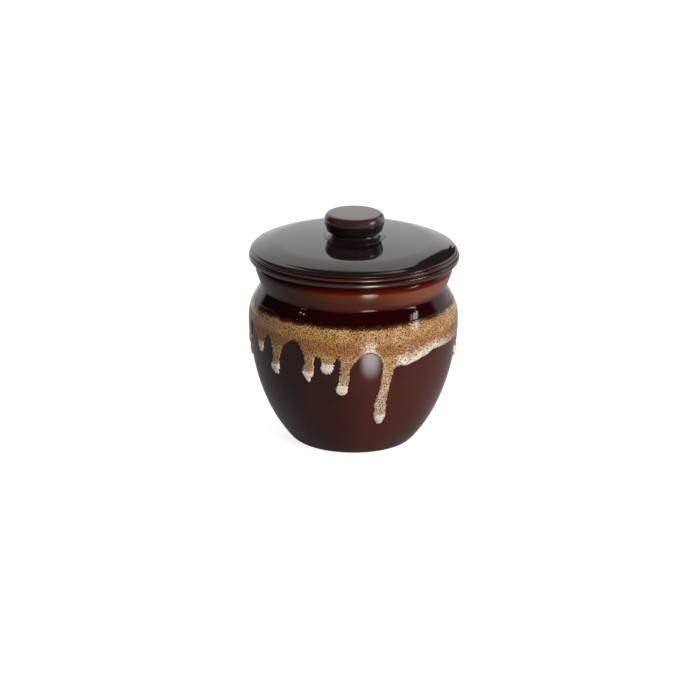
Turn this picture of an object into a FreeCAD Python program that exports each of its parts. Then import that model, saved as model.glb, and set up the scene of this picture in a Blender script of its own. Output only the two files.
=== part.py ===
"""Small lidded stoneware jar with a poured run glaze, as a parametric FreeCAD document.

The jar stands on the XY plane with its axis on Z, and the front of the glaze's long runs faces -Y.
Every turned piece is a sketch on its own body's XZ plane, turned about Z. A sketch is a closed loop of
stretches: two points make a straight line, four points make a curve whose inner two are its handles.
All sizes are millimetres and degrees.
"""
import FreeCAD, Part
import os
import Sketcher

# Driving dimensions

SIZES = [
    # Jar, outside
    ("jar_height", 75.0, "from the table to the flat rim"),
    ("foot_radius", 24.7, "outer edge of the ring it stands on"),
    ("foot_ring_width", 3.5, "flat of the standing ring"),
    ("foot_recess", 1.2, "hollow inside the standing ring"),
    ("foot_bevel", 1.5, "slope between the hollow and the ring"),
    ("heel_spread", 6.6, "how far the heel stands out from the foot"),
    ("heel_height", 8.1, "where the rounded heel meets the side"),
    ("heel_slope", 58.0, "slope of the wall there, from level"),
    ("heel_turn", 1.0, "handle that rounds the foot's edge"),
    ("heel_handle_below", 3.0, "handle of the heel under that place"),
    ("heel_handle_above", 8.5, "handle of the side above that place"),
    ("belly_radius", 42.6, "widest bare wall"),
    ("belly_drop", 24.0, "widest place, below the rim"),
    ("belly_handle_below", 20.8, "fullness of the side below it"),
    ("belly_handle_above", 8.3, "fullness of the shoulder above it"),
    ("neck_radius", 38.0, "narrowest place under the lip"),
    ("neck_drop", 10.2, "narrowest place, below the rim"),
    ("neck_handle_below", 2.2, "how tightly the shoulder turns into the neck"),
    ("neck_handle_above", 1.2, "how tightly the neck turns into the lip"),
    ("lip_flare", 2.4, "how far the lip stands out from the neck"),
    ("lip_round", 2.0, "rounding of the lip's outer edge"),
    ("lip_handle", 2.0, "handle of the flare under the lip"),
    # Jar, inside
    ("wall", 6.3, "thickness of the side"),
    ("floor_thickness", 6.6, "from the standing plane to the inner floor"),
    ("floor_inset", 9.7, "edge of the flat inner floor, inside the foot's edge"),
    ("floor_handle", 14.5, "sweep of the inner floor into the side"),
    ("neck_wall", 5.0, "thickness at the neck, which leaves the mouth"),
    ("mouth_round", 1.2, "rounding of the mouth's inner edge"),
    ("throat_drop", 12.4, "where the mouth opens into the belly, below the rim"),
    ("throat_handle", 3.0, "handle of that opening"),
    ("inner_shoulder_handle", 6.6, "fullness of the inner shoulder"),
    # Poured glaze
    ("glaze_thickness", 0.4, "how far the poured glaze stands proud"),
    ("glaze_drop", 16.4, "level upper edge of the poured glaze, below the rim"),
    ("glaze_band", 11.1, "height of the band over its runs"),
    ("run_width", 5.0, "usual width of a run"),
    ("run_length", 10.0, "usual length of a run below the band"),
    # Lid
    ("lid_overhang", 2.6, "how far the lid's edge stands out from the lip"),
    ("lid_edge_height", 6.1, "from the seat to the edge of the top"),
    ("lid_edge_inset", 3.4, "how far the edge of the top lies inside the widest place"),
    ("lid_edge_belly", 1.8, "height of the widest place over the seat"),
    ("lid_under_round", 1.6, "rounding of the lower edge"),
    ("lid_edge_handle", 2.4, "fullness of the edge over its widest place"),
    ("lid_turn_handle", 1.8, "how tightly the edge turns into the top"),
    ("lid_top_slope", 11.0, "slope of the top at its edge, from level"),
    ("lid_rise", 3.9, "rise of the domed top from its edge to the knob"),
    ("lid_dome_handle", 14.0, "fullness of the dome near its edge"),
    ("lid_crown_handle", 9.0, "fullness of the dome near the knob"),
    ("lid_middle_thickness", 6.2, "thickness of the lid under the knob"),
    ("lid_roof_edge", 1.5, "height of the underside over the seat, beside the flange"),
    ("lid_roof_handle", 14.0, "fullness of the underside at its middle"),
    ("lid_roof_edge_handle", 7.0, "fullness of the underside at its edge"),
    ("flange_depth", 5.5, "how far the locating flange drops into the mouth"),
    ("flange_width", 4.0, "thickness of the flange"),
    ("flange_round", 1.2, "rounding of the flange's lower edges"),
    ("flange_clearance", 0.8, "gap round the flange in the mouth"),
    # Knob
    ("knob_height", 10.0, "from its foot on the lid to its top"),
    ("knob_foot_radius", 10.6, "foot that is luted to the lid"),
    ("knob_stem_radius", 9.2, "narrowest place of the stem"),
    ("knob_stem_height", 2.0, "height of the narrowest place over the foot"),
    ("knob_under_radius", 11.2, "lower edge of the knob's disc"),
    ("knob_under_height", 4.0, "height of that edge over the foot"),
    ("knob_radius", 12.1, "widest place of the knob"),
    ("knob_side_drop", 2.4, "widest place, below the top"),
    ("knob_flat_radius", 8.5, "flat of the knob's top"),
]

# Runs of the poured glaze: angle to the right of the front, width in run widths and length below the
# band in run lengths
RUNS = [
    (-60, 0.90, 0.75),
    (-47, 1.00, 1.40),
    (-25, 1.04, 1.35),
    (-14, 1.28, 1.00),
    (-6, 1.00, 1.85),
    (17, 1.12, 3.20),
    (34, 3.20, 0.60),
    (56, 2.80, 0.45),
    (77, 1.08, 1.15),
    (95, 0.96, 1.75),
    (114, 1.24, 0.90),
    (131, 1.00, 2.15),
    (152, 1.40, 1.15),
    (170, 1.04, 2.65),
    (189, 1.20, 1.05),
    (207, 0.96, 1.60),
    (228, 1.12, 2.30),
    (249, 1.32, 0.95),
    (268, 1.00, 1.45),
    (284, 1.08, 0.65),
]

# Places that several pieces share, in words of the sheet
HEEL_RADIUS = "foot_radius + heel_spread"
LIP_RADIUS = "neck_radius + lip_flare"
MOUTH_RADIUS = "neck_radius - neck_wall"
LID_RADIUS = f"{LIP_RADIUS} + lid_overhang"
BELLY = "jar_height - belly_drop"
NECK = "jar_height - neck_drop"
THROAT = "jar_height - throat_drop"
GLAZE_TOP = "jar_height - glaze_drop"
GLAZE_HEM = f"{GLAZE_TOP} - glaze_band"
LID_EDGE = "jar_height + lid_edge_height"
LID_TOP = f"{LID_EDGE} + lid_rise"

# Share of a rounding's radius that its curve handles keep from the corner, for a near round quarter
CORNER = 0.45

doc = FreeCAD.newDocument("lidded_jar")
sheet = doc.addObject("Spreadsheet::Sheet", "Sizes")
aliases = set()


def fill_sheet():
    """Writes one row per size: its meaning, its number and the alias that expressions use."""
    rows = list(SIZES)
    for number, (angle, widths, lengths) in enumerate(RUNS, start=1):
        rows.append((f"run_{number}_angle", angle, f"run {number}, to the right of the front"))
        rows.append((f"run_{number}_widths", widths, f"run {number}, across, in run widths"))
        rows.append((f"run_{number}_lengths", lengths, f"run {number}, below the band, in run lengths"))
    for line, (alias, number, meaning) in enumerate(rows, start=1):
        sheet.set(f"A{line}", meaning)
        sheet.set(f"B{line}", str(number))
        sheet.setAlias(f"B{line}", alias)
        aliases.add(alias)
    doc.recompute()


# Shared steps of every turned piece

def sheet_text(expression):
    """Turns the plain alias words of an expression into references to the sheet."""
    return " ".join(f"Sizes.{word}" if word in aliases else word for word in expression.split())


def pin(sketch, geometry, place, point):
    """Ties one sketch point to the sheet, by its distance from the axis and its height."""
    for kind, axis, expression in (("DistanceX", -2, point[0]), ("DistanceY", -1, point[1])):
        if expression == "0":
            sketch.addConstraint(Sketcher.Constraint("PointOnObject", geometry, place, axis))
            continue
        text = sheet_text(expression)
        number = sheet.evalExpression(text)
        index = sketch.addConstraint(Sketcher.Constraint(kind, -1, 1, geometry, place, number))
        sketch.setExpression(f"Constraints[{index}]", text)


def vector(point):
    """The place of a point now, for the first drawing of a sketch."""
    return FreeCAD.Vector(*(sheet.evalExpression(sheet_text(text)) for text in point))


def upright_sketch(body, name):
    """An empty sketch on the body's own XZ plane, where X is the radius and Y the height."""
    sketch = body.newObject("Sketcher::SketchObject", name)
    plane = [item for item in body.Origin.OriginFeatures if item.Role == "XZ_Plane"][0]
    sketch.AttachmentSupport = (plane, [""])
    sketch.MapMode = "FlatFace"
    return sketch


def draw_loop(sketch, stretches):
    """Draws the closed loop; each stretch starts where the one before it ended."""
    drawn = []
    for stretch in stretches:
        places = [vector(point) for point in stretch]
        if len(stretch) == 2:
            index = sketch.addGeometry(Part.LineSegment(*places), False)
        else:
            curve = Part.BSplineCurve()
            curve.buildFromPolesMultsKnots(places, [4, 4], [0, 1], False, 3)
            index = sketch.addGeometry(curve, False)
            sketch.exposeInternalGeometry(index)
            for offset, handle in enumerate(stretch[1:-1], start=2):
                pin(sketch, index + offset, 3, handle)
        drawn.append(index)
    for here, after in zip(drawn, drawn[1:] + drawn[:1]):
        sketch.addConstraint(Sketcher.Constraint("Coincident", here, 2, after, 1))
    for index, stretch in zip(drawn, stretches):
        pin(sketch, index, 1, stretch[0])


def turned_body(name, stretches):
    """A body made by turning a closed loop once round the Z axis."""
    body = doc.addObject("PartDesign::Body", name)
    body.Label = name
    sketch = upright_sketch(body, f"{name}_outline")
    draw_loop(sketch, stretches)
    turned = body.newObject("PartDesign::Revolution", f"{name}_turned")
    turned.Profile = sketch
    turned.ReferenceAxis = (sketch, ["V_Axis"])
    turned.Angle = 360
    return body


# Outer wall of the jar, shared by the jar and by the glaze that lies on it

def side_curve(proud=""):
    """From the heel up to the belly; proud moves the whole curve outwards."""
    return [
        (f"{HEEL_RADIUS} {proud}", "heel_height"),
        (f"{HEEL_RADIUS} + heel_handle_above * cos( heel_slope ) {proud}",
         "heel_height + heel_handle_above * sin( heel_slope )"),
        (f"belly_radius {proud}", f"{BELLY} - belly_handle_below"),
        (f"belly_radius {proud}", BELLY),
    ]


def shoulder_curve(proud=""):
    """From the belly up to the narrowest place of the neck."""
    return [
        (f"belly_radius {proud}", BELLY),
        (f"belly_radius {proud}", f"{BELLY} + belly_handle_above"),
        (f"neck_radius {proud}", f"{NECK} - neck_handle_below"),
        (f"neck_radius {proud}", NECK),
    ]


def jar_outline():
    """The jar's half section, from the middle of the foot round to the middle of the floor."""
    foot_middle = ("0", "foot_recess")
    recess_edge = ("foot_radius - foot_ring_width - foot_bevel", "foot_recess")
    ring_inside = ("foot_radius - foot_ring_width", "0")
    ring_outside = ("foot_radius", "0")
    heel = (HEEL_RADIUS, "heel_height")
    neck = ("neck_radius", NECK)
    lip_side = (LIP_RADIUS, "jar_height - lip_round")
    rim_outside = (f"{LIP_RADIUS} - lip_round", "jar_height")
    rim_inside = (f"{MOUTH_RADIUS} + mouth_round", "jar_height")
    mouth_top = (MOUTH_RADIUS, "jar_height - mouth_round")
    throat = (MOUTH_RADIUS, THROAT)
    inner_belly = ("belly_radius - wall", BELLY)
    floor_edge = ("foot_radius - floor_inset", "floor_thickness")
    floor_middle = ("0", "floor_thickness")
    heel_curve = [
        ring_outside,
        ("foot_radius + heel_turn", "0"),
        (f"{HEEL_RADIUS} - heel_handle_below * cos( heel_slope )",
         "heel_height - heel_handle_below * sin( heel_slope )"),
        heel,
    ]
    flare = [
        neck,
        ("neck_radius", f"{NECK} + neck_handle_above"),
        (LIP_RADIUS, "jar_height - lip_round - lip_handle"),
        lip_side,
    ]
    lip_edge = [
        lip_side,
        (LIP_RADIUS, f"jar_height - lip_round * {CORNER}"),
        (f"{LIP_RADIUS} - lip_round * {CORNER}", "jar_height"),
        rim_outside,
    ]
    mouth_edge = [
        rim_inside,
        (f"{MOUTH_RADIUS} + mouth_round * {CORNER}", "jar_height"),
        (MOUTH_RADIUS, f"jar_height - mouth_round * {CORNER}"),
        mouth_top,
    ]
    inner_shoulder = [
        throat,
        (MOUTH_RADIUS, f"{THROAT} - throat_handle"),
        ("belly_radius - wall", f"{BELLY} + inner_shoulder_handle"),
        inner_belly,
    ]
    inner_side = [
        inner_belly,
        ("belly_radius - wall", f"{BELLY} - belly_handle_below"),
        ("foot_radius - floor_inset + floor_handle", "floor_thickness"),
        floor_edge,
    ]
    return [
        [foot_middle, recess_edge],
        [recess_edge, ring_inside],
        [ring_inside, ring_outside],
        heel_curve,
        side_curve(),
        shoulder_curve(),
        flare,
        lip_edge,
        [rim_outside, rim_inside],
        mouth_edge,
        [mouth_top, throat],
        inner_shoulder,
        inner_side,
        [floor_edge, floor_middle],
        [floor_middle, foot_middle],
    ]


# Poured glaze: a thin skin on the outer wall, kept where it was poured and where it ran

def skin_outline():
    """The skin's half section: up the bare wall, then down again one glaze thickness further out."""
    proud = "+ glaze_thickness"
    bare = [side_curve(), shoulder_curve()]
    glazed = [shoulder_curve(proud)[::-1], side_curve(proud)[::-1]]
    top_edge = [bare[1][-1], glazed[0][0]]
    bottom_edge = [glazed[1][-1], bare[0][0]]
    return bare + [top_edge] + glazed + [bottom_edge]


def run_tool(number):
    """An upright tongue with a round tip, padded out through the wall and turned to its angle."""
    half = f"run_width * run_{number}_widths / 2"
    tip = f"{GLAZE_HEM} - run_length * run_{number}_lengths"
    left = f"0 - {half}"
    shoulder = f"{tip} + {half}"
    tip_handle = f"{tip} + {half} * {CORNER}"
    body = doc.addObject("PartDesign::Body", f"run_{number}")
    sketch = upright_sketch(body, f"run_{number}_outline")
    sketch.setExpression("AttachmentOffset.Base.z", sheet_text("foot_radius"))
    draw_loop(sketch, [
        [(left, shoulder), (left, tip_handle), (f"{left} * {CORNER}", tip), ("0", tip)],
        [("0", tip), (f"{half} * {CORNER}", tip), (half, tip_handle), (half, shoulder)],
        [(half, shoulder), (half, GLAZE_TOP)],
        [(half, GLAZE_TOP), (left, GLAZE_TOP)],
        [(left, GLAZE_TOP), (left, shoulder)],
    ])
    pad = body.newObject("PartDesign::Pad", f"run_{number}_pad")
    pad.Profile = sketch
    pad.setExpression("Length", sheet_text("belly_radius + wall - foot_radius"))
    body.Placement = FreeCAD.Placement(FreeCAD.Vector(), FreeCAD.Rotation(FreeCAD.Vector(0, 0, 1), 1))
    body.setExpression("Placement.Rotation.Angle", sheet_text(f"run_{number}_angle"))
    return body


def band_outline():
    """A ring deep enough to hold the skin between the glaze's upper edge and its hem."""
    corners = [
        ("foot_radius", GLAZE_HEM),
        ("belly_radius + wall", GLAZE_HEM),
        ("belly_radius + wall", GLAZE_TOP),
        ("foot_radius", GLAZE_TOP),
    ]
    return [[here, after] for here, after in zip(corners, corners[1:] + corners[:1])]


def poured_glaze():
    """The band round the shoulder and every run under it, as one layer."""
    skin = turned_body("glaze_skin", skin_outline())
    poured = doc.addObject("Part::MultiFuse", "glaze_poured")
    band = turned_body("glaze_ring", band_outline())
    poured.Shapes = [band] + [run_tool(number) for number in range(1, len(RUNS) + 1)]
    glaze = doc.addObject("Part::Common", "drip_glaze")
    glaze.Label = "drip_glaze"
    glaze.Base = skin
    glaze.Tool = poured
    return glaze


# Lid and knob, which stand on the jar's rim

def lid_outline():
    """The lid's half section, from the middle of its underside round to the middle of its top."""
    flange_outer = f"{MOUTH_RADIUS} - flange_clearance"
    flange_inner = f"{flange_outer} - flange_width"
    flange_low = "jar_height - flange_depth"
    roof_middle = ("0", f"{LID_TOP} - lid_middle_thickness")
    roof_edge = (flange_inner, "jar_height + lid_roof_edge")
    inner_low = (flange_inner, f"{flange_low} + flange_round")
    inner_foot = (f"{flange_inner} + flange_round", flange_low)
    outer_foot = (f"{flange_outer} - flange_round", flange_low)
    outer_low = (flange_outer, f"{flange_low} + flange_round")
    seat_inside = (flange_outer, "jar_height")
    seat_outside = (f"{LID_RADIUS} - lid_under_round", "jar_height")
    widest = (LID_RADIUS, "jar_height + lid_edge_belly")
    top_edge = (f"{LID_RADIUS} - lid_edge_inset", LID_EDGE)
    knob_seat = ("knob_foot_radius", LID_TOP)
    top_middle = ("0", LID_TOP)
    roof = [
        roof_middle,
        ("lid_roof_handle", f"{LID_TOP} - lid_middle_thickness"),
        (f"{flange_inner} - lid_roof_edge_handle", "jar_height + lid_roof_edge"),
        roof_edge,
    ]
    inner_rounding = [
        inner_low,
        (flange_inner, f"{flange_low} + flange_round * {CORNER}"),
        (f"{flange_inner} + flange_round * {CORNER}", flange_low),
        inner_foot,
    ]
    outer_rounding = [
        outer_foot,
        (f"{flange_outer} - flange_round * {CORNER}", flange_low),
        (flange_outer, f"{flange_low} + flange_round * {CORNER}"),
        outer_low,
    ]
    under_rounding = [
        seat_outside,
        (f"{LID_RADIUS} - lid_under_round * {CORNER}", "jar_height"),
        (LID_RADIUS, f"jar_height + lid_edge_belly * {CORNER}"),
        widest,
    ]
    edge = [
        widest,
        (LID_RADIUS, "jar_height + lid_edge_belly + lid_edge_handle"),
        (f"{LID_RADIUS} - lid_edge_inset + lid_turn_handle * cos( lid_top_slope )",
         f"{LID_EDGE} - lid_turn_handle * sin( lid_top_slope )"),
        top_edge,
    ]
    dome = [
        top_edge,
        (f"{LID_RADIUS} - lid_edge_inset - lid_dome_handle * cos( lid_top_slope )",
         f"{LID_EDGE} + lid_dome_handle * sin( lid_top_slope )"),
        ("knob_foot_radius + lid_crown_handle", LID_TOP),
        knob_seat,
    ]
    return [
        roof,
        [roof_edge, inner_low],
        inner_rounding,
        [inner_foot, outer_foot],
        outer_rounding,
        [outer_low, seat_inside],
        [seat_inside, seat_outside],
        under_rounding,
        edge,
        dome,
        [knob_seat, top_middle],
        [top_middle, roof_middle],
    ]


def knob_outline():
    """The knob's half section: a waisted stem under a disc with a softly rounded top."""
    stem_height = f"{LID_TOP} + knob_stem_height"
    under_height = f"{LID_TOP} + knob_under_height"
    top_height = f"{LID_TOP} + knob_height"
    foot_middle = ("0", LID_TOP)
    foot = ("knob_foot_radius", LID_TOP)
    stem = ("knob_stem_radius", stem_height)
    under = ("knob_under_radius", under_height)
    widest = ("knob_radius", f"{top_height} - knob_side_drop")
    flat_edge = ("knob_flat_radius", top_height)
    foot_hollow = [
        foot,
        (f"knob_stem_radius + ( knob_foot_radius - knob_stem_radius ) * {CORNER}", LID_TOP),
        ("knob_stem_radius", f"{LID_TOP} + knob_stem_height * {CORNER}"),
        stem,
    ]
    stem_hollow = [
        stem,
        ("knob_stem_radius", f"{under_height} - ( knob_under_height - knob_stem_height ) * {CORNER}"),
        (f"knob_stem_radius + ( knob_under_radius - knob_stem_radius ) * {CORNER}", under_height),
        under,
    ]
    side = [
        under,
        ("knob_radius", under_height),
        ("knob_radius", f"{under_height} + ( knob_height - knob_under_height ) * {CORNER}"),
        widest,
    ]
    top_rounding = [
        widest,
        ("knob_radius", f"{top_height} - knob_side_drop * {CORNER}"),
        (f"knob_radius - ( knob_radius - knob_flat_radius ) * {CORNER}", top_height),
        flat_edge,
    ]
    return [
        [foot_middle, foot],
        foot_hollow,
        stem_hollow,
        side,
        top_rounding,
        [flat_edge, ("0", top_height)],
        [("0", top_height), foot_middle],
    ]


def check(pieces):
    """Stops before anything is written if an object failed or a piece has no sound solid."""
    for item in doc.Objects:
        if "Invalid" in item.State or "Error" in item.State:
            raise RuntimeError(f"{item.Name} failed: {item.State}")
    for piece in pieces:
        if piece.Shape.isNull() or not piece.Shape.isValid() or not piece.Shape.Solids:
            raise RuntimeError(f"{piece.Label} has no sound solid")


def write(pieces):
    """Writes one STEP file per piece and prints what it holds."""
    os.makedirs("parts", exist_ok=True)
    for piece in pieces:
        piece.Shape.exportStep(f"parts/{piece.Label}.step")
        box = piece.Shape.BoundBox
        print(f"{piece.Label}: {len(piece.Shape.Solids)} solid, {piece.Shape.Volume / 1000:.2f} cm3,"
              f" {box.XLength:.2f} x {box.YLength:.2f} x {box.ZLength:.2f} mm from z {box.ZMin:.2f}")


fill_sheet()
PIECES = [
    turned_body("jar_body", jar_outline()),
    poured_glaze(),
    turned_body("lid", lid_outline()),
    turned_body("lid_knob", knob_outline()),
]
doc.recompute()
check(PIECES)
write(PIECES)
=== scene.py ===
# %% [markdown]
# A small stoneware jar with a lift-off lid, in dark brown glaze with a pale glaze poured round its shoulder.
# Everything on a potter's wheel is a turned shape, so the jar, the lid and the knob are each one line of
# points that is spun about the upright axis. The solids could be shown as they are, but a fresh outline can
# have finer grooves and gives even faces that shine without dents. Only the poured glaze isn't round, and it
# gets a step of its own.

# %% Load the construction that everything is fitted to
import bmesh
import bpy
import math
import numpy as np
from mathutils import Matrix, Vector
from mathutils.geometry import interpolate_bezier


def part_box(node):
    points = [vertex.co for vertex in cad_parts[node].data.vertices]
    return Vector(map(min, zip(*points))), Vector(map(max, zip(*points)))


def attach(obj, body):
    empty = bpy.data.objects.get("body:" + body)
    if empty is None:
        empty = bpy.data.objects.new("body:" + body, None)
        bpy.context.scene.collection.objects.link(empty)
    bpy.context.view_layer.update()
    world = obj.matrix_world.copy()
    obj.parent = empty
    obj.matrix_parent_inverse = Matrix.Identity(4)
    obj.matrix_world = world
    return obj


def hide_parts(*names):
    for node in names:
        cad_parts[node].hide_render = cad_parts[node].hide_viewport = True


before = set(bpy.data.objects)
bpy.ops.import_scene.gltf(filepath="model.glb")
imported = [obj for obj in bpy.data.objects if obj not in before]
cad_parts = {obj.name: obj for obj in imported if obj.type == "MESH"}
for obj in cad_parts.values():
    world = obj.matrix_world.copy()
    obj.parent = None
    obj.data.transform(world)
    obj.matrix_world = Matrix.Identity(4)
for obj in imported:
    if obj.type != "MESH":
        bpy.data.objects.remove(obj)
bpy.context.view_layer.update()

# %% [markdown]
# Sizes are in millimetres here, as a potter would measure them, and turn into metres when a point is placed.
# The outer sizes could be typed in, but they are read from the solids, so that the pieces always fit them.
# The others are those of the turned outline and are named in the step that needs them.

# %% Read the main sizes from the solids
MM = 0.001
BELLY_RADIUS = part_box("jar_body")[1].x / MM
JAR_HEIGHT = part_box("jar_body")[1].z / MM
LID_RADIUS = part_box("lid")[1].x / MM
FLANGE_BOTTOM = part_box("lid")[0].z / MM
LID_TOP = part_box("lid")[1].z / MM
KNOB_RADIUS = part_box("lid_knob")[1].x / MM
KNOB_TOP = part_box("lid_knob")[1].z / MM
print(f"jar {BELLY_RADIUS:.1f} by {JAR_HEIGHT:.1f}, lid {LID_RADIUS:.1f}, knob top {KNOB_TOP:.1f} mm")

# %% [markdown]
# A turned outline is a chain of stretches, each starting where the last one ended. Two places make a straight
# stretch, and four make a curve whose inner two places are its handles, as with a drawing pen. How far a
# handle reaches is called its pull. A turned piece could also come from a Screw modifier, but the spin
# operator leaves a plain mesh that later steps can cut.

# %% Draw an outline
UPRIGHT = math.pi / 2
CORNER_PULL = 0.55


def along(place, slope, distance):
    """The place that lies so far from another along a slope."""
    return (place[0] + distance * math.cos(slope), place[1] + distance * math.sin(slope))


def corner(start, turn, end):
    """A rounded corner as a curve, from the start round the turning place to the end."""
    handles = [
        (radius + (turn[0] - radius) * CORNER_PULL, height + (turn[1] - height) * CORNER_PULL)
        for radius, height in (start, end)
    ]
    return [start, *handles, end]


def outline(stretches, steps):
    """The points of a chain of straight and curved stretches, from (radius, height) in millimetres."""
    points = []
    for stretch in stretches:
        places = [Vector((radius, 0, height)) * MM for radius, height in stretch]
        if len(places) == 4:
            places = interpolate_bezier(*places, steps)
        points += places[1:] if points else places
    return points


print("a corner's handles reach", CORNER_PULL, "of the way to its turning place")

# %% Spin it and make it a piece
TURN_STEPS = 256
MERGE_REACH = 0.001


def spun(points, steps=TURN_STEPS):
    """A bmesh of the line of points, turned once round the upright axis and closed."""
    mesh = bmesh.new()
    verts = [mesh.verts.new(point) for point in points]
    edges = [mesh.edges.new(pair) for pair in zip(verts, verts[1:])]
    bmesh.ops.spin(
        mesh, geom=verts + edges, cent=(0, 0, 0), axis=(0, 0, 1),
        angle=2 * math.pi, steps=steps, use_merge=True,
    )
    bmesh.ops.remove_doubles(mesh, verts=mesh.verts, dist=MERGE_REACH * MM)
    bmesh.ops.recalc_face_normals(mesh, faces=mesh.faces)
    return mesh


def finished(mesh, name, body, node, material):
    """Makes the bmesh a smooth piece that stands for a solid and moves with its body."""
    for face in mesh.faces:
        face.smooth = True
    data = bpy.data.meshes.new(name)
    mesh.to_mesh(data)
    mesh.free()
    data.materials.append(material)
    piece = bpy.data.objects.new(name, data)
    bpy.context.scene.collection.objects.link(piece)
    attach(piece, body)
    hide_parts(node)
    print(name, len(data.polygons), "faces")
    return piece


print("one step of a turn is", round(math.radians(360 / TURN_STEPS) * LID_RADIUS, 2), "mm at the lid's edge")

# %% [markdown]
# Colours are written as they look on a screen, from 0 to 255, because that is how an eye compares them.
# Shaders count light instead, so each one is turned into linear numbers before it is used. The patterns could
# be painted pictures, but numbers worked out from a place on the piece never show a seam, and a few small
# helpers keep the node trees as short to read as a recipe.

# %% Colours and sums for materials
# The screen's own curve: a straight foot, and above it a power
SCREEN_WHITE = 255
FOOT_END = 0.04045
FOOT_SLOPE = 12.92
CURVE_SHIFT = 0.055
CURVE_POWER = 2.4


def linear(value):
    """A screen level from 0 to 255 as a share of light."""
    level = value / SCREEN_WHITE
    if level <= FOOT_END:
        return level / FOOT_SLOPE
    return ((level + CURVE_SHIFT) / (1 + CURVE_SHIFT)) ** CURVE_POWER


def colour(red, green, blue):
    """A screen colour as the linear red, green, blue and alpha that shaders use."""
    return (linear(red), linear(green), linear(blue), 1.0)


def feed(tree, socket, value):
    """Links a socket to another node's output, or sets it to a plain value."""
    if isinstance(value, bpy.types.NodeSocket):
        tree.links.new(value, socket)
    else:
        socket.default_value = value


def sums(tree, operation, first, second):
    """A sum on two numbers, such as MULTIPLY or MAXIMUM."""
    node = tree.nodes.new("ShaderNodeMath")
    node.operation = operation
    feed(tree, node.inputs[0], first)
    feed(tree, node.inputs[1], second)
    return node.outputs[0]


def times(tree, first, *others):
    """The product of several numbers."""
    for other in others:
        first = sums(tree, "MULTIPLY", first, other)
    return first


def mixed(tree, share, first, second):
    """A colour that goes from the first to the second as the share goes from 0 to 1."""
    node = tree.nodes.new("ShaderNodeMix")
    node.data_type = "RGBA"
    for index, value in ((0, share), (6, first), (7, second)):
        feed(tree, node.inputs[index], value)
    return node.outputs[2]


print("half grey on the screen is", round(linear(SCREEN_WHITE / 2), 3), "of the light")

# %% Steps and patterns for materials
# Noise hardly leaves this range, so it is stretched over it
NOISE_RANGE = (0.2, 0.8)
NOISE_DETAIL = 2.0


def ramp(tree, value, ends, low=0.0, high=1.0):
    """A smooth step from low to high as the value goes from one end to the other."""
    node = tree.nodes.new("ShaderNodeMapRange")
    node.interpolation_type = "SMOOTHSTEP"
    for name, number in (("From Min", ends[0]), ("From Max", ends[1]), ("To Min", low), ("To Max", high)):
        node.inputs[name].default_value = number
    tree.links.new(value, node.inputs["Value"])
    return node.outputs["Result"]


def over(tree, length, ends, low=0.0, high=1.0):
    """The same smooth step on a length, with its ends in millimetres."""
    return ramp(tree, length, (ends[0] * MM, ends[1] * MM), low, high)


def cloud(tree, places, size, detail=NOISE_DETAIL):
    """Soft noise whose spots are about that many millimetres across, near 0.5 on average."""
    node = tree.nodes.new("ShaderNodeTexNoise")
    node.inputs["Scale"].default_value = 1 / (size * MM)
    node.inputs["Detail"].default_value = detail
    tree.links.new(places, node.inputs["Vector"])
    return node.outputs["Fac"]


def uneven(tree, value, places, size, swing):
    """A length that soft noise of that size shifts to and fro, both in millimetres."""
    shift = ramp(tree, cloud(tree, places, size), NOISE_RANGE, -swing * MM, swing * MM)
    return sums(tree, "ADD", value, shift)


def layered(tree, height, paint, borders):
    """Lays one colour after the other over a paint, each beyond its border."""
    for start, end, beyond in borders:
        paint = mixed(tree, over(tree, height, (start, end)), paint, beyond)
    return paint


def bumped(tree, shader, height, depth):
    """Gives a shader fine relief that is so many millimetres deep."""
    node = tree.nodes.new("ShaderNodeBump")
    node.inputs["Distance"].default_value = depth * MM
    tree.links.new(height, node.inputs["Height"])
    tree.links.new(node.outputs["Normal"], shader.inputs["Normal"])


def new_material(name):
    """An empty material: its node tree, its shader, and the piece's own coordinates."""
    material = bpy.data.materials.new(name)
    material.use_nodes = True
    tree = material.node_tree
    places = tree.nodes.new("ShaderNodeTexCoord").outputs["Object"]
    apart = tree.nodes.new("ShaderNodeSeparateXYZ")
    tree.links.new(places, apart.inputs[0])
    print("material", name)
    return material, tree, tree.nodes["Principled BSDF"], places, apart.outputs


print("noise is stretched over the range", NOISE_RANGE)

# %% [markdown]
# The dark glaze is full of iron. Where it lies thick it is nearly black with a red depth, and where it runs
# thin over an edge it breaks to rust brown. The jar's glaze changes with height: bare clay on the standing
# ring, brown on the belly, black red on the shoulder and rust on the flared lip. Each could be a material of
# its own, but a glaze has no sharp joints, so ramps on the height lay one colour over the other in a single
# material, with soft noise to keep every border uneven.

# %% Colours of the jar
BARE_CLAY = colour(150, 118, 90)
BELLY_DARK = colour(52, 26, 22)
BELLY_RED = colour(82, 39, 32)
# painted light: the lighter rust of the lip's lit right side
LIP_RUST_LIT = colour(178, 106, 72)
SHOULDER_BLACK = colour(32, 3, 2)
# Each border: where it starts and ends, in millimetres up the jar, and the colour above it
JAR_BORDERS = [
    (51.0, 56.0, SHOULDER_BLACK),
    (64.4, 65.0, colour(72, 24, 20)),
    (65.6, 66.4, colour(88, 36, 28)),
    (66.6, 67.6, colour(80, 38, 26)),
    (68.2, 69.4, colour(94, 44, 26)),
    (70.2, 71.2, colour(104, 44, 18)),
    # The last two borders darken the top of the lip under the lid's edge to dark red and then black: partly
    # the glaze's own colour, partly painted shade under the lid
    (71.9, 72.6, colour(76, 10, 1)),
    (74.3, 74.9, SHOULDER_BLACK),
]
print("the jar's glaze has", len(JAR_BORDERS), "borders")

# %% Glaze of the jar
JAR_IOR = 1.3
JAR_ROUGHNESS = 0.07
FLARE_ROUGHER = 0.09
BARE_ROUGHNESS = 0.75
BARE_EDGE = (0.9, 0.45)
# Patches: about how many millimetres across they are, and how far they shift a border
BORDER_PATCHES = (14, 0.5)
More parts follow.
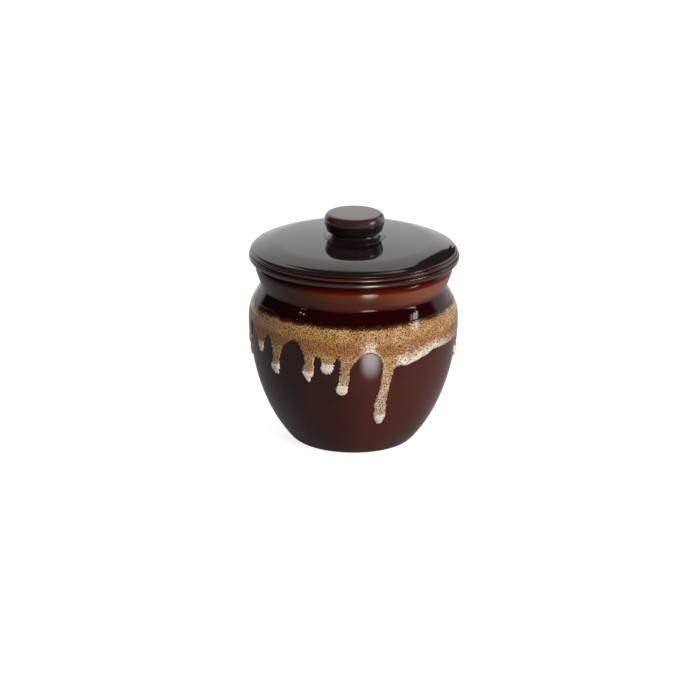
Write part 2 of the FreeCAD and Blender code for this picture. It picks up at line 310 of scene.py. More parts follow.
# The belly is painted redder and lighter to the right as painted light from that side, and sooner so below
# its middle
BELLY_LIT_ACROSS = (-26, 26)
BELLY_LIT_PATCHES = (26, 18)
BELLY_LIT_LEVEL = 25
BELLY_LIT_LEAN = 0.6
# Between these heights the lip flares; its left is painted darker as shade, and its right a lighter rust as
# painted light from the right
LIP_START = (62, 65)
FLARE_START = (65, 68)
FLARE_END = (72.4, 71.6)
SHADED_LEFT_ACROSS = (0, -32)
SHADED_LEFT_SHARE = 0.6
LIT_RIGHT_ACROSS = (4, 34)
LIT_RIGHT_SHARE = 0.4
WAVE_SIZE = 6
WAVE_DEPTH = 0.025


def jar_glaze():
    """The iron glaze of the jar, from the bare standing ring up to the lip."""
    material, tree, shader, places, axes = new_material("jar_glaze")
    lower = times(tree, sums(tree, "SUBTRACT", BELLY_LIT_LEVEL * MM, axes["Z"]), BELLY_LIT_LEAN)
    # painted light: the belly turns lighter and redder towards its lit right side
    side = uneven(tree, sums(tree, "ADD", axes["X"], lower), places, *BELLY_LIT_PATCHES)
    belly = mixed(tree, over(tree, side, BELLY_LIT_ACROSS), BELLY_DARK, BELLY_RED)
    paint = layered(tree, uneven(tree, axes["Z"], places, *BORDER_PATCHES), belly, JAR_BORDERS)
    lip = over(tree, axes["Z"], LIP_START)
    flare = times(tree, over(tree, axes["Z"], FLARE_START), over(tree, axes["Z"], FLARE_END))
    # painted shade: thick darkens the neck and lip on the left; painted light: thin turns the flare a lighter
    # rust on the right
    thick = times(tree, lip, over(tree, axes["X"], SHADED_LEFT_ACROSS, 0, SHADED_LEFT_SHARE))
    thin = times(tree, flare, over(tree, axes["X"], LIT_RIGHT_ACROSS, 0, LIT_RIGHT_SHARE))
    paint = mixed(tree, thin, mixed(tree, thick, paint, SHOULDER_BLACK), LIP_RUST_LIT)
    bare = over(tree, axes["Z"], BARE_EDGE)
    tree.links.new(mixed(tree, bare, paint, BARE_CLAY), shader.inputs["Base Color"])
    rough = ramp(tree, bare, (0, 1), JAR_ROUGHNESS, BARE_ROUGHNESS)
    rough = sums(tree, "ADD", rough, times(tree, flare, FLARE_ROUGHER))
    tree.links.new(rough, shader.inputs["Roughness"])
    shader.inputs["IOR"].default_value = JAR_IOR
    bumped(tree, shader, cloud(tree, places, WAVE_SIZE), WAVE_DEPTH)
    return material


JAR_GLAZE = jar_glaze()

# %% [markdown]
# The jar is thrown as one wall. It could be an outer shape with a Solidify modifier, but a thrown wall isn't
# equally thick all the way up, so its section is drawn as one outline instead: from the middle of the hollow
# foot, out over the standing ring, up the belly to the lip, over the flat rim and down the inside again to
# the middle of the floor.

# %% Places on the jar's outline
FOOT_HOLLOW = (19.7, 1.2)
RING_INNER = (21.2, 0)
RING_OUTER = (24.7, 0)
RING_PULL = 1
HEEL = (31.3, 8.1)
HEEL_SLOPE = math.radians(58)
HEEL_PULL_DOWN = 3
HEEL_PULL_UP = 8.5
BELLY = (BELLY_RADIUS, JAR_HEIGHT - 24)
BELLY_PULL_DOWN = 20.8
BELLY_PULL_UP = 8.3
NECK = (38.0, JAR_HEIGHT - 10.2)
NECK_PULL_DOWN = 0.7
NECK_PULL_UP = 1.2
LIP_RADIUS = 40.4
LIP_ROUND = 2
LIP_PULL = 2
MOUTH_RADIUS = 33.0
MOUTH_ROUND = 1.2
THROAT = (MOUTH_RADIUS, JAR_HEIGHT - 12.4)
THROAT_PULL = 3
INNER = (BELLY_RADIUS - 6.3, BELLY[1])
INNER_PULL_UP = 6.6
BOTTOM = (15.0, 6.6)
BOTTOM_PULL = 14.5
print("the wall is", round(BELLY_RADIUS - INNER[0], 1), "mm thick at the belly")


# %% Outline of the jar
def side_stretch():
    """The wall from the heel up to the belly."""
    return [HEEL, along(HEEL, HEEL_SLOPE, HEEL_PULL_UP), along(BELLY, UPRIGHT, -BELLY_PULL_DOWN), BELLY]


def shoulder_stretch():
    """The wall from the belly up to the neck."""
    return [BELLY, along(BELLY, UPRIGHT, BELLY_PULL_UP), along(NECK, UPRIGHT, -NECK_PULL_DOWN), NECK]


def jar_outline():
    """The whole section of the jar's wall."""
    lip = (LIP_RADIUS, JAR_HEIGHT - LIP_ROUND)
    rim_outer = (LIP_RADIUS - LIP_ROUND, JAR_HEIGHT)
    rim_inner = (MOUTH_RADIUS + MOUTH_ROUND, JAR_HEIGHT)
    mouth = (MOUTH_RADIUS, JAR_HEIGHT - MOUTH_ROUND)
    return [
        [(0, FOOT_HOLLOW[1]), FOOT_HOLLOW],
        [FOOT_HOLLOW, RING_INNER],
        [RING_INNER, RING_OUTER],
        [RING_OUTER, along(RING_OUTER, 0, RING_PULL), along(HEEL, HEEL_SLOPE, -HEEL_PULL_DOWN), HEEL],
        side_stretch(),
        shoulder_stretch(),
        [NECK, along(NECK, UPRIGHT, NECK_PULL_UP), along(lip, UPRIGHT, -LIP_PULL), lip],
        corner(lip, (LIP_RADIUS, JAR_HEIGHT), rim_outer),
        [rim_outer, rim_inner],
        corner(rim_inner, (MOUTH_RADIUS, JAR_HEIGHT), mouth),
        [mouth, THROAT],
        [THROAT, along(THROAT, UPRIGHT, -THROAT_PULL), along(INNER, UPRIGHT, INNER_PULL_UP), INNER],
        [INNER, along(INNER, UPRIGHT, -BELLY_PULL_DOWN), along(BOTTOM, 0, BOTTOM_PULL), BOTTOM],
        [BOTTOM, (0, BOTTOM[1])],
    ]


print("the wall's section has", len(jar_outline()), "stretches")

# %% Turn the jar
JAR_CURVE_STEPS = 16
jar_line = outline(jar_outline(), JAR_CURVE_STEPS)
finished(spun(jar_line), "jar_wall", "jar", "jar_body", JAR_GLAZE)

# %% [markdown]
# The lid is glazed nearly black and mirrors the room. Round its edge, where the beads and grooves are, the
# glaze breaks to brown on what stands out and stays black in what lies deep, and below the widest bead the
# edge is painted darker still as shade under the lid. That could be a mask from a Pointiness node, but it
# would change with the mesh, so ramps on the height follow the beads that are drawn.
# The knob was dipped thinner and stays satin, and its flat top is painted greyer as a painted reflection of
# the room.

# %% Glaze of the lid
LID_IOR = 1.68
LID_BLACK = colour(30, 22, 20)
GROOVE_BLACK = colour(20, 3, 2)
# Each border of the edge, going down: where it starts and ends in height, and the colour below it
LID_BORDERS = [
    (81.1, 80.6, colour(42, 21, 17)),
    (80.3, 80.0, GROOVE_BLACK),
    (79.8, 79.5, colour(70, 30, 18)),
    (78.7, 78.4, GROOVE_BLACK),
    (78.1, 77.8, colour(46, 18, 11)),
    # painted shade: the last border darkens the edge below its widest bead and the underside, as shade under
    # the lid
    (76.8, 75.8, colour(24, 4, 2)),
]
LID_PATCHES = (10, 0.12)
EDGE_ROUGHNESS = 0.22
TOP_ROUGHNESS = 0.06
TOP_START = (80.4, 81.2)
LID_WAVE_SIZE = 12
LID_WAVE_DEPTH = 0.03


def lid_glaze():
    """The black glaze of the lid, with its edge broken to brown."""
    material, tree, shader, places, axes = new_material("lid_glaze")
    paint = layered(tree, uneven(tree, axes["Z"], places, *LID_PATCHES), LID_BLACK, LID_BORDERS)
    tree.links.new(paint, shader.inputs["Base Color"])
    rough = over(tree, axes["Z"], TOP_START, EDGE_ROUGHNESS, TOP_ROUGHNESS)
    tree.links.new(rough, shader.inputs["Roughness"])
    shader.inputs["IOR"].default_value = LID_IOR
    bumped(tree, shader, cloud(tree, places, LID_WAVE_SIZE), LID_WAVE_DEPTH)
    return material


LID_GLAZE = lid_glaze()

# %% Glaze of the knob
KNOB_ROUGHNESS = 0.28
KNOB_BROWN = colour(28, 19, 16)
KNOB_EDGE = colour(56, 34, 30)
# painted reflection: the grey of the knob's flat top
KNOB_TOP_PAINTED_SHEEN = colour(92, 74, 74)
# Each border, going up: where it starts and ends, and the colour above it
KNOB_BORDERS = [(KNOB_TOP - 4, KNOB_TOP - 1.6, KNOB_EDGE), (KNOB_TOP - 0.5, KNOB_TOP - 0.1, KNOB_TOP_PAINTED_SHEEN)]


def knob_glaze():
    """The satin glaze of the knob, browner at its edge, with a painted grey reflection on its flat top."""
    material, tree, shader, _, axes = new_material("knob_glaze")
    tree.links.new(layered(tree, axes["Z"], KNOB_BROWN, KNOB_BORDERS), shader.inputs["Base Color"])
    shader.inputs["Roughness"].default_value = KNOB_ROUGHNESS
    shader.inputs["IOR"].default_value = LID_IOR
    return material


KNOB_GLAZE = knob_glaze()

# %% [markdown]
# The lid's outline starts in the middle of its dished underside, goes round the flange that drops into the
# mouth, out along the seat and up over the beads to a crisp edge. From there the top is a low cone that
# bends over into a nearly flat middle round the knob. A plain dome would be easier to draw, but the lid is a
# mirror, and only this bend shows the room and the knob in it where they belong. The order of the places is
# the order in which a potter's tool would follow the section.

# %% Places on the lid's outline
FLANGE_RADIUS = MOUTH_RADIUS - 0.8
FLANGE_ROUND = 1.2
ROOF_MIDDLE = (0, LID_TOP - 6.2)
ROOF_EDGE = (FLANGE_RADIUS - 4, JAR_HEIGHT + 1.5)
ROOF_MIDDLE_PULL = 14
ROOF_EDGE_PULL = 7
KNOB_FOOT = (12.7, LID_TOP)
LID_SLOPE = math.radians(20)
EDGE_TURN = math.radians(32)
EDGE_PULL = 0.8
CONE_PULL = 3
LID_BREAK = (30.5, LID_TOP - 1.1)
BREAK_SLOPE = math.radians(5)
BREAK_PULL = 6
MIDDLE_HANDLE = (18, LID_TOP - 0.1)


def on_edge(inward, up):
    """A place on the lid's edge, so far in from its widest place and so far up from its seat."""
    return (LID_RADIUS - inward, JAR_HEIGHT + up)


SEAT_EDGE = on_edge(2.7, 0)
SEAT_HANDLES = [on_edge(1.1, 0.3), on_edge(0, 1.1)]
LID_WIDEST = on_edge(0, 2.2)
LOW_BEAD_HANDLES = [on_edge(0, 2.9), on_edge(0.2, 3.3)]
LOWER_GROOVE = on_edge(1.0, 3.3)
BEAD_HANDLES = [on_edge(0.3, 3.9), on_edge(0.5, 4.9)]
UPPER_GROOVE = on_edge(1.6, 4.9)
LID_EDGE = on_edge(3.8, 6.65)
EDGE_HANDLES = [on_edge(0.7, 5.7), along(LID_EDGE, -EDGE_TURN, EDGE_PULL)]
CONE_HANDLES = [along(LID_EDGE, math.pi - LID_SLOPE, CONE_PULL), along(LID_BREAK, -BREAK_SLOPE, CONE_PULL)]
print("the flange clears the mouth by", round(MOUTH_RADIUS - FLANGE_RADIUS, 2), "mm all round")


# %% Outline of the lid
def flange_stretches():
    """The section from the middle of the underside round the flange to the seat."""
    inner_side = (ROOF_EDGE[0], FLANGE_BOTTOM + FLANGE_ROUND)
    inner_foot = (ROOF_EDGE[0] + FLANGE_ROUND, FLANGE_BOTTOM)
    outer_foot = (FLANGE_RADIUS - FLANGE_ROUND, FLANGE_BOTTOM)
    outer_side = (FLANGE_RADIUS, FLANGE_BOTTOM + FLANGE_ROUND)
    roof_handles = [along(ROOF_MIDDLE, 0, ROOF_MIDDLE_PULL), along(ROOF_EDGE, 0, -ROOF_EDGE_PULL)]
    return [
        [ROOF_MIDDLE, *roof_handles, ROOF_EDGE],
        [ROOF_EDGE, inner_side],
        corner(inner_side, (ROOF_EDGE[0], FLANGE_BOTTOM), inner_foot),
        [inner_foot, outer_foot],
        corner(outer_foot, (FLANGE_RADIUS, FLANGE_BOTTOM), outer_side),
        [outer_side, (FLANGE_RADIUS, JAR_HEIGHT)],
    ]


def lid_outline():
    """The whole section of the lid."""
    return flange_stretches() + [
        [(FLANGE_RADIUS, JAR_HEIGHT), SEAT_EDGE],
        [SEAT_EDGE, *SEAT_HANDLES, LID_WIDEST],
        [LID_WIDEST, *LOW_BEAD_HANDLES, LOWER_GROOVE],
        [LOWER_GROOVE, *BEAD_HANDLES, UPPER_GROOVE],
        [UPPER_GROOVE, *EDGE_HANDLES, LID_EDGE],
        [LID_EDGE, *CONE_HANDLES, LID_BREAK],
        [LID_BREAK, along(LID_BREAK, math.pi - BREAK_SLOPE, BREAK_PULL), MIDDLE_HANDLE, KNOB_FOOT],
        [KNOB_FOOT, (0, LID_TOP)],
    ]


print("the lid's section has", len(lid_outline()), "stretches")

# %% Turn the lid
LID_CURVE_STEPS = 14
lid_line = outline(lid_outline(), LID_CURVE_STEPS)
finished(spun(lid_line), "lid_disc", "lid", "lid", LID_GLAZE)

# %% [markdown]
# The knob is turned by itself and luted to the lid: a foot that flares into the lid, a waist for the fingers
# and a head that widens to its shoulder and ends in a flat. It could be a cylinder with bevels, but each of
# its corners is rounded differently, and an outline says so place by place.

# %% Turn the knob
KNOB_TURN_STEPS = 128
KNOB_STEM = (9.6, LID_TOP + 1.6)
KNOB_UNDER = (10.7, LID_TOP + 2.6)
KNOB_LOW_SIDE = (11.4, LID_TOP + 3.3)
KNOB_SIDE_PULL = 1.2
KNOB_SIDE_LEAN = 0.25
KNOB_WIDEST = (KNOB_RADIUS + 0.25, KNOB_TOP - 3.0)
KNOB_FLAT = (10.0, KNOB_TOP)


def knob_outline():
    """The section of the knob from its foot to its flat top."""
    low_handle = (KNOB_LOW_SIDE[0] + KNOB_SIDE_LEAN, KNOB_LOW_SIDE[1] + KNOB_SIDE_PULL)
    return [
        [(0, LID_TOP), KNOB_FOOT],
        corner(KNOB_FOOT, (KNOB_STEM[0], LID_TOP), KNOB_STEM),
        corner(KNOB_STEM, (KNOB_STEM[0], KNOB_UNDER[1]), KNOB_UNDER),
        corner(KNOB_UNDER, (KNOB_LOW_SIDE[0], KNOB_UNDER[1]), KNOB_LOW_SIDE),
        [KNOB_LOW_SIDE, low_handle, along(KNOB_WIDEST, UPRIGHT, -KNOB_SIDE_PULL), KNOB_WIDEST],
        corner(KNOB_WIDEST, (KNOB_WIDEST[0], KNOB_TOP), KNOB_FLAT),
        [KNOB_FLAT, (0, KNOB_TOP)],
    ]


knob_line = outline(knob_outline(), LID_CURVE_STEPS)
finished(spun(knob_line, KNOB_TURN_STEPS), "knob", "lid", "lid_knob", KNOB_GLAZE)

# %% [markdown]
# The pale glaze was poured round the shoulder and ran. Its edge could be painted, but the runs stand out from
# the wall and end in fat drops, so they have to be shapes. The edge is drawn flat first, as on a label that
# is wrapped round the wall: across it angles to the right of the front, up it heights. Each run is a chain of
# circles from its root to its tip, and the glaze covers all that the circles sweep over. Where two sweeps
# meet, a smooth union rounds the corner, as surface tension does.

# %% Draw the runs of the poured glaze
ARC_MM = math.radians(BELLY_RADIUS)
POUR_TOP = 60.3
POUR_HEM = 52.0
# Each run is a chain of circles: angle to the right of the front in degrees, height and radius
FRONT_RUNS = [
    [(-61.6, 51.0, 6.2), (-61.1, 47.8, 3.0), (-60.9, 43.5, 1.5)],
    [(-45.6, 52.4, 7.5), (-46.2, 48.7, 3.5), (-47.0, 42.0, 1.9), (-48.3, 38.5, 2.5), (-48.0, 36.6, 1.5)],
    [(-24.5, 50.3, 2.8), (-24.6, 43.4, 2.2), (-25.5, 39.4, 2.7), (-25.5, 35.7, 0.8)],
    [(-13.7, 47.5, 3.0), (-13.7, 43.2, 2.6), (-14.3, 42.1, 2.7)],
    [(-2.0, 48.4, 4.1), (-4.1, 43.0, 2.1), (-4.8, 36.4, 2.0), (-6.3, 32.7, 2.5)],
    [
        (22.1, 47.2, 6.3), (19.7, 41.9, 2.5), (17.9, 31.9, 2.1),
        (16.4, 26.1, 2.7), (17.1, 20.3, 2.8), (17.3, 18.0, 1.9),
    ],
]
# Places where the hem hangs lower without running
RIGHT_SAG = [
    (17.3, 53.9, 7.0), (30.5, 48.5, 6.2), (41.9, 50.7, 6.2),
    (49.8, 50.1, 3.9), (64.6, 50.9, 5.1), (80.9, 50.5, 4.6),
]
SAGS = [[(-20.9, 54.8, 8.4), (-6.7, 52.5, 5.8)], [(6.1, 52.7, 4.5), (-2.3, 48.6, 2.7)], RIGHT_SAG]
# Runs on the sides and back, of which the photograph shows nothing: angle, width and height of the tip
BACK_RUNS = [
    (84, 5.0, 36.0), (97, 4.8, 30.0), (114, 6.2, 38.5), (131, 5.0, 26.0),
    (152, 7.0, 36.0), (170, 5.2, 21.0), (189, 6.0, 37.0), (207, 4.8, 31.5),
    (228, 5.6, 24.5), (249, 6.6, 38.0), (268, 5.0, 33.0), (280, 5.4, 41.0),
]
# What a run at the back shares with the others: heights, radii as parts of its width, and a slight bend
ROOT_HEIGHT = 49
STEM_TOP = 46
ROOT_SHARE = 0.8
STEM_SHARE = 0.38
STEM_BEND = 0.6
DROP_BEND = -0.5


def back_run(angle, width, tip):
    """A run like those in front: a broad root, a narrow stem and a drop at the tip."""
    drop = tip + width / 2
    root = (angle, ROOT_HEIGHT, width * ROOT_SHARE)
    stem = (angle + STEM_BEND, (drop + STEM_TOP) / 2, width * STEM_SHARE)
    return [root, stem, (angle + DROP_BEND, drop, width / 2)]


RUNS = FRONT_RUNS + [back_run(*run) for run in BACK_RUNS]
print(len(RUNS), "runs and", len(SAGS), "sags")

# %% Measure how far inside the glaze a place lies
MEETING_ROUND = 2.0
FAR_OUTSIDE = -99.0
# Two waves that make the edge ragged: height in millimetres, pace, and the sway of the wave and its pace
WAVE_ACROSS = (0.16, 4.3, 2.1, 1.7)
WAVE_UP = (0.14, 3.9, 2.0, 2.3)


def across(angle, middle):
    """How far round the belly each angle lies from a middle one, in millimetres."""
    return (np.remainder(angle - middle + 180, 360) - 180) * ARC_MM


def joined(first, second, reach):
    """A smooth union of two distances, rounded over the reach."""
    share = np.clip(0.5 + 0.5 * (first - second) / reach, 0, 1)
    return first * share + second * (1 - share) + reach * share * (1 - share)


def swept(angle, height, chain):
    """How far each place lies inside the sweep of a chain of circles, in millimetres."""
    deepest = np.full(angle.shape, FAR_OUTSIDE)
    for (angle_a, height_a, radius_a), (angle_b, height_b, radius_b) in zip(chain, chain[1:]):
        beside = across(angle, angle_a)
        up = height - height_a
        step_across = (angle_b - angle_a) * ARC_MM
        step_up = height_b - height_a
        share = np.clip((beside * step_across + up * step_up) / (step_across**2 + step_up**2), 0, 1)
        apart = np.hypot(beside - share * step_across, up - share * step_up)
        deepest = np.maximum(deepest, radius_a + share * (radius_b - radius_a) - apart)
    return deepest


def wave(forward, sideways, size, pace, sway, sway_pace):
    """A wave along one direction that sways with the other."""
    return size * np.sin(pace * forward + sway * np.sin(sway_pace * sideways))


def poured_depth(angle, height):
    """How far each place lies inside the poured glaze; below zero it is outside."""
    beside = angle * ARC_MM
    ragged = wave(beside, height, *WAVE_ACROSS) + wave(height, beside, *WAVE_UP)
    depth = np.minimum(POUR_TOP - height, height - POUR_HEM)
    for chain in RUNS + SAGS:
        depth = joined(depth, swept(angle, height, chain), MEETING_ROUND)
    return np.minimum(depth + ragged, POUR_TOP - height)


sag_angle, sag_height, _ = np.array(RIGHT_SAG).T
print("the sag on the right lies", poured_depth(sag_angle, sag_height).round(1), "mm inside the edge")

# %% [markdown]
# The speckled glaze is a tan one that has broken up over the dark one: light and dark grains lie close
# together, the dark ones win at the upper edge, and in the drops and along the thick hem on the right hardly
# any are left and the glaze is cream. The grains are fine noise. Where it is pale could be noise as well, but
# it follows the drops, so it is worked out from the same chains of circles and kept on the mesh as an
# attribute that the material reads.

# %% Where the glaze is pale
TIP_LENGTH = 4.6
TIP_BLUR = 1
TIP_SIDE = (6.0, 5.0)
HEM_LEFT = (20, 28)
HEM_RIGHT = (90, 48)
HEM_TOP = (52, 50)
HEM_DEPTH = (7.4, 1.4)
HEM_PALENESS = 0.68
SPOT_ANGLE = 9.0
SPOT_HEIGHT = 51.0
SPOT_REACH = (5.0, 5 / 3)
SPOT_PALENESS = 0.42


def step(value, start, end):
    """0 before the start and 1 after the end, with a straight line between."""
    return np.clip((value - start) / (end - start), 0, 1)


def tip_nearness(angle, height):
    """1 in the drop at the end of a run, 0 away from it."""
    nearest = np.zeros(angle.shape)
    for chain in RUNS:
        tip_angle, tip_height, tip_radius = chain[-1]
        top = tip_height - tip_radius + TIP_LENGTH
        beside = step(np.abs(across(angle, tip_angle)), *TIP_SIDE)
        nearest = np.maximum(nearest, beside * step(height, top + TIP_BLUR, top - TIP_BLUR))
    return nearest


def paleness(angle, height):
    """1 where the glaze is cream, 0 where it is speckled tan."""
    right = step(angle, *HEM_LEFT) * step(angle, *HEM_RIGHT)
    hem = right * step(height, *HEM_TOP) * step(swept(angle, height, RIGHT_SAG), *HEM_DEPTH)
    spot = step(np.hypot(across(angle, SPOT_ANGLE), height - SPOT_HEIGHT), *SPOT_REACH)
    return np.maximum.reduce([tip_nearness(angle, height), HEM_PALENESS * hem, SPOT_PALENESS * spot])


run_tips = np.array([chain[-1][:2] for chain in RUNS])
print("paleness at the tips is", round(paleness(run_tips[:, 0], run_tips[:, 1]).min(), 2), "or more")

# %% Light grains of the runs
TAN = colour(214, 176, 122)
TAN_RED = colour(196, 146, 98)
TAN_PALE = colour(228, 200, 168)
LOW_BROWN = colour(178, 118, 68)
AMBER = colour(208, 156, 72)
CREAM = colour(252, 241, 226)
# Patches of redder tan, an amber band on the left, a browner one below it and paler tan further down
RED_SIZE = 5
RED_DETAIL = 3
RED_NOISE = (0.35, 0.65)
HEIGHT_PATCHES = (9, 1.0)
SIDE_PATCHES = (8, 4)
AMBER_RIGHT = (6, -8)
AMBER_LEFT = (-33, -25)
AMBER_START = (52, 54)
AMBER_END = (56.5, 55)
AMBER_SHARE = 0.75
BROWN_START = (46, 49)
BROWN_END = (54, 51.5)
BROWN_SHARE = 0.9
PALER_DOWN = (44, 32)


def light_grains(tree, places, axes, pale):
    """The colour of the light grains, which changes down the runs and across the front."""
    height = uneven(tree, axes["Z"], places, *HEIGHT_PATCHES)
    beside = uneven(tree, axes["X"], places, *SIDE_PATCHES)
    light = mixed(tree, ramp(tree, cloud(tree, places, RED_SIZE, RED_DETAIL), RED_NOISE), TAN, TAN_RED)
    left = times(tree, over(tree, beside, AMBER_RIGHT), over(tree, beside, AMBER_LEFT))
    band = times(tree, over(tree, height, AMBER_START), over(tree, height, AMBER_END))
    light = mixed(tree, times(tree, band, left, AMBER_SHARE), light, AMBER)
    brown = times(tree, over(tree, height, BROWN_START), over(tree, height, BROWN_END), BROWN_SHARE)
    light = mixed(tree, brown, light, LOW_BROWN)
    light = mixed(tree, over(tree, height, PALER_DOWN), light, TAN_PALE)
    return mixed(tree, pale, light, CREAM)


print("the amber band lies from", AMBER_START[0], "to", AMBER_END[0], "mm up the jar")

# %% Glaze of the runs
RUN_ROUGHNESS = 0.12
CREAM_SHADE = colour(200, 172, 142)
GRAIN_BROWN = colour(92, 54, 26)
GRAIN_SIZE = 0.46
GRAIN_DETAIL = 1
GRAIN_DEPTH = 0.012
GRAIN_SOFTNESS = (-0.1, 0.1)
# The noise has to pass a limit to be a light grain, and the limit is higher at the faded upper edge
LIMIT_BELOW = 0.47
LIMIT_ABOVE = 0.78
LIMIT_PALER = 0.05
# The border of the pale places is ragged
RAGGED_SIZE = 0.8
RAGGED_NOISE = (0.25, 0.75)
RAGGED_SWING = 0.3
PALE_EDGE = (0.15, 0.85)
# Where the upper edge fades out, which is a little higher on the right
FADE = (57, 60)
FADE_PATCHES = (5, 0.4)
TILT_ACROSS = (5, 30)
TILT = 0.8 * MM


def run_glaze():
    """The speckled glaze, made of light and dark grains."""
    material, tree, shader, places, axes = new_material("run_glaze")
    attribute = tree.nodes.new("ShaderNodeAttribute")
    attribute.attribute_name = "paleness"
    ragged = ramp(tree, cloud(tree, places, RAGGED_SIZE), RAGGED_NOISE, -RAGGED_SWING, RAGGED_SWING)
    pale = ramp(tree, sums(tree, "ADD", attribute.outputs["Fac"], ragged), PALE_EDGE)
    tilted = sums(tree, "SUBTRACT", axes["Z"], over(tree, axes["X"], TILT_ACROSS, 0, TILT))
    fade = over(tree, uneven(tree, tilted, places, *FADE_PATCHES), FADE)
    light = light_grains(tree, places, axes, pale)
    dark = mixed(tree, fade, mixed(tree, pale, GRAIN_BROWN, CREAM_SHADE), SHOULDER_BLACK)
    grain = cloud(tree, places, GRAIN_SIZE, GRAIN_DETAIL)
    limit = ramp(tree, fade, (0, 1), LIMIT_BELOW, LIMIT_ABOVE)
    limit = sums(tree, "SUBTRACT", limit, times(tree, pale, LIMIT_PALER))
    bright = ramp(tree, sums(tree, "SUBTRACT", grain, limit), GRAIN_SOFTNESS)
    tree.links.new(mixed(tree, bright, dark, light), shader.inputs["Base Color"])
    shader.inputs["Roughness"].default_value = RUN_ROUGHNESS
    shader.inputs["IOR"].default_value = JAR_IOR
    bumped(tree, shader, grain, GRAIN_DEPTH)
    return material


RUN_GLAZE = run_glaze()

# %% [markdown]
# The layer itself starts as a fine skin turned from the wall's own outline. It could be cut from the skin by
# a Boolean with a drawn stencil, but that leaves thin slivers along the edge. Here the points near the drawn
# edge slide onto it, faces outside are cut away, and what is left is extruded: the copy rises to the glaze's
# thickness, rounded at the edge and fuller in the drops, and the skin stays behind just inside the wall as
# its back.

# %% A skin on the wall
SKIN_SPACING = 0.42
SKIN_COLUMNS = 640
SKIN_LOW = 13.0
SKIN_MARGIN = 1
WALL_STEPS = 200
BOX_RADIUS = LID_RADIUS - 0.01


def wall_line():
    """Radius and height of the outer wall from low on the side up to the neck, evenly spaced."""
    points = outline([side_stretch(), shoulder_stretch()], WALL_STEPS)
    radius = np.array([point.x for point in points]) / MM
    height = np.array([point.z for point in points]) / MM
    length = np.concatenate([[0], np.cumsum(np.hypot(np.diff(radius), np.diff(height)))])
    kept = (height > SKIN_LOW) & (height < POUR_TOP + SKIN_MARGIN)
    even = np.arange(length[kept][0], length[kept][-1], SKIN_SPACING)
    return np.interp(even, length, radius), np.interp(even, length, height)


WALL_RADIUS, WALL_HEIGHT = wall_line()


def around(mesh):
    """The angle to the right of the front, and the height, of every point of a bmesh."""
    places = np.array([vert.co for vert in mesh.verts]) / MM
    return np.degrees(np.arctan2(places[:, 0], -places[:, 1])), places[:, 2]


def place_on_wall(mesh, angle, height, rise):
    """Puts every point at its angle and height, so far out from the wall."""
    radius = np.minimum(np.interp(height, WALL_HEIGHT, WALL_RADIUS) + rise, BOX_RADIUS)
    turn = np.radians(angle)
    for vert, x, y, z in zip(mesh.verts, radius * np.sin(turn), -radius * np.cos(turn), height):
        vert.co = (x * MM, y * MM, z * MM)


print("the skin has", len(WALL_HEIGHT), "rows of", SKIN_COLUMNS, "points")

# %% Slide the skin onto the edge and raise it
FILM = 0.38
FILM_FADE = 4
DROP_RISE = 0.4
EDGE_ROUND = 1.2
EDGE_STEP = 0.03
SKIN_SINK = 0.08
SLIDES = 2
SLIDE_REACH = 0.6 * SKIN_SPACING
NUDGE = 0.05
LEAST_STEEP = 0.2
CUT_DEPTH = -0.05


def slid_to_edge(angle, height):
    """Slides the places near the drawn edge along the steepest way onto it."""
    for _ in range(SLIDES):
        depth = poured_depth(angle, height)
        slope_across = (poured_depth(angle + NUDGE / ARC_MM, height) - depth) / NUDGE
        slope_up = (poured_depth(angle, height + NUDGE) - depth) / NUDGE
        steep = np.maximum(slope_across**2 + slope_up**2, LEAST_STEEP)
        slide = np.where(np.abs(depth) < SLIDE_REACH, -depth / steep, 0)
        angle = angle + slide * slope_across / ARC_MM
        height = height + slide * slope_up
    return angle, height


def glaze_rise(angle, height):
    """How far the glaze stands out from the wall: thin at its edge and top, full in the drops."""
    depth = np.clip(poured_depth(angle, height), 0, EDGE_ROUND)
    rounded = np.sqrt(1 - (1 - depth / EDGE_ROUND) ** 2)
    fade = np.clip((POUR_TOP - height) / FILM_FADE, 0, 1)
    return EDGE_STEP + rounded * (FILM * fade + DROP_RISE * tip_nearness(angle, height))


def poured_glaze():
    """The layer of poured glaze as a closed mesh."""
    skin = spun([Vector((r, 0, z)) * MM for r, z in zip(WALL_RADIUS, WALL_HEIGHT)], SKIN_COLUMNS)
    angle, height = slid_to_edge(*around(skin))
    place_on_wall(skin, angle, height, -SKIN_SINK)
    outside = poured_depth(angle, height) < CUT_DEPTH
    faces = [face for face in skin.faces if any(outside[vert.index] for vert in face.verts)]
    bmesh.ops.delete(skin, geom=faces, context="FACES")
    lifted = bmesh.ops.extrude_face_region(skin, geom=skin.faces[:], use_keep_orig=True)["geom"]
    lifted = {item for item in lifted if isinstance(item, bmesh.types.BMVert)}
    skin.verts.index_update()
    angle, height = around(skin)
    raised = np.array([vert in lifted for vert in skin.verts])
    place_on_wall(skin, angle, height, np.where(raised, glaze_rise(angle, height), -SKIN_SINK))
    bmesh.ops.recalc_face_normals(skin, faces=skin.faces)
    return skin


print("points closer than", round(SLIDE_REACH, 2), "mm slide onto the edge")

# %% Pour the glaze
glaze_mesh = poured_glaze()
run_angle, run_height = around(glaze_mesh)
glaze = finished(glaze_mesh, "poured_glaze", "jar", "drip_glaze", RUN_GLAZE)
paler = glaze.data.attributes.new("paleness", "FLOAT", "POINT")
paler.data.foreach_set("value", paleness(run_angle, run_height).astype(np.float32))
print("the runs reach down to a height of", round(run_height.min(), 1), "mm")

# %% [markdown]
# The stage is a pale floor under soft light. The glaze is a mirror, so what it shows matters as much as its
# colour. The eye sees the floor as white, which could be had with more light, but that would bleach the jar.
# So a Light Path node lifts the floor for the eye alone, and its shadow stays. In the glaze the same floor
# shows dim, with a soft pool of light in front that makes the long glow on the belly.

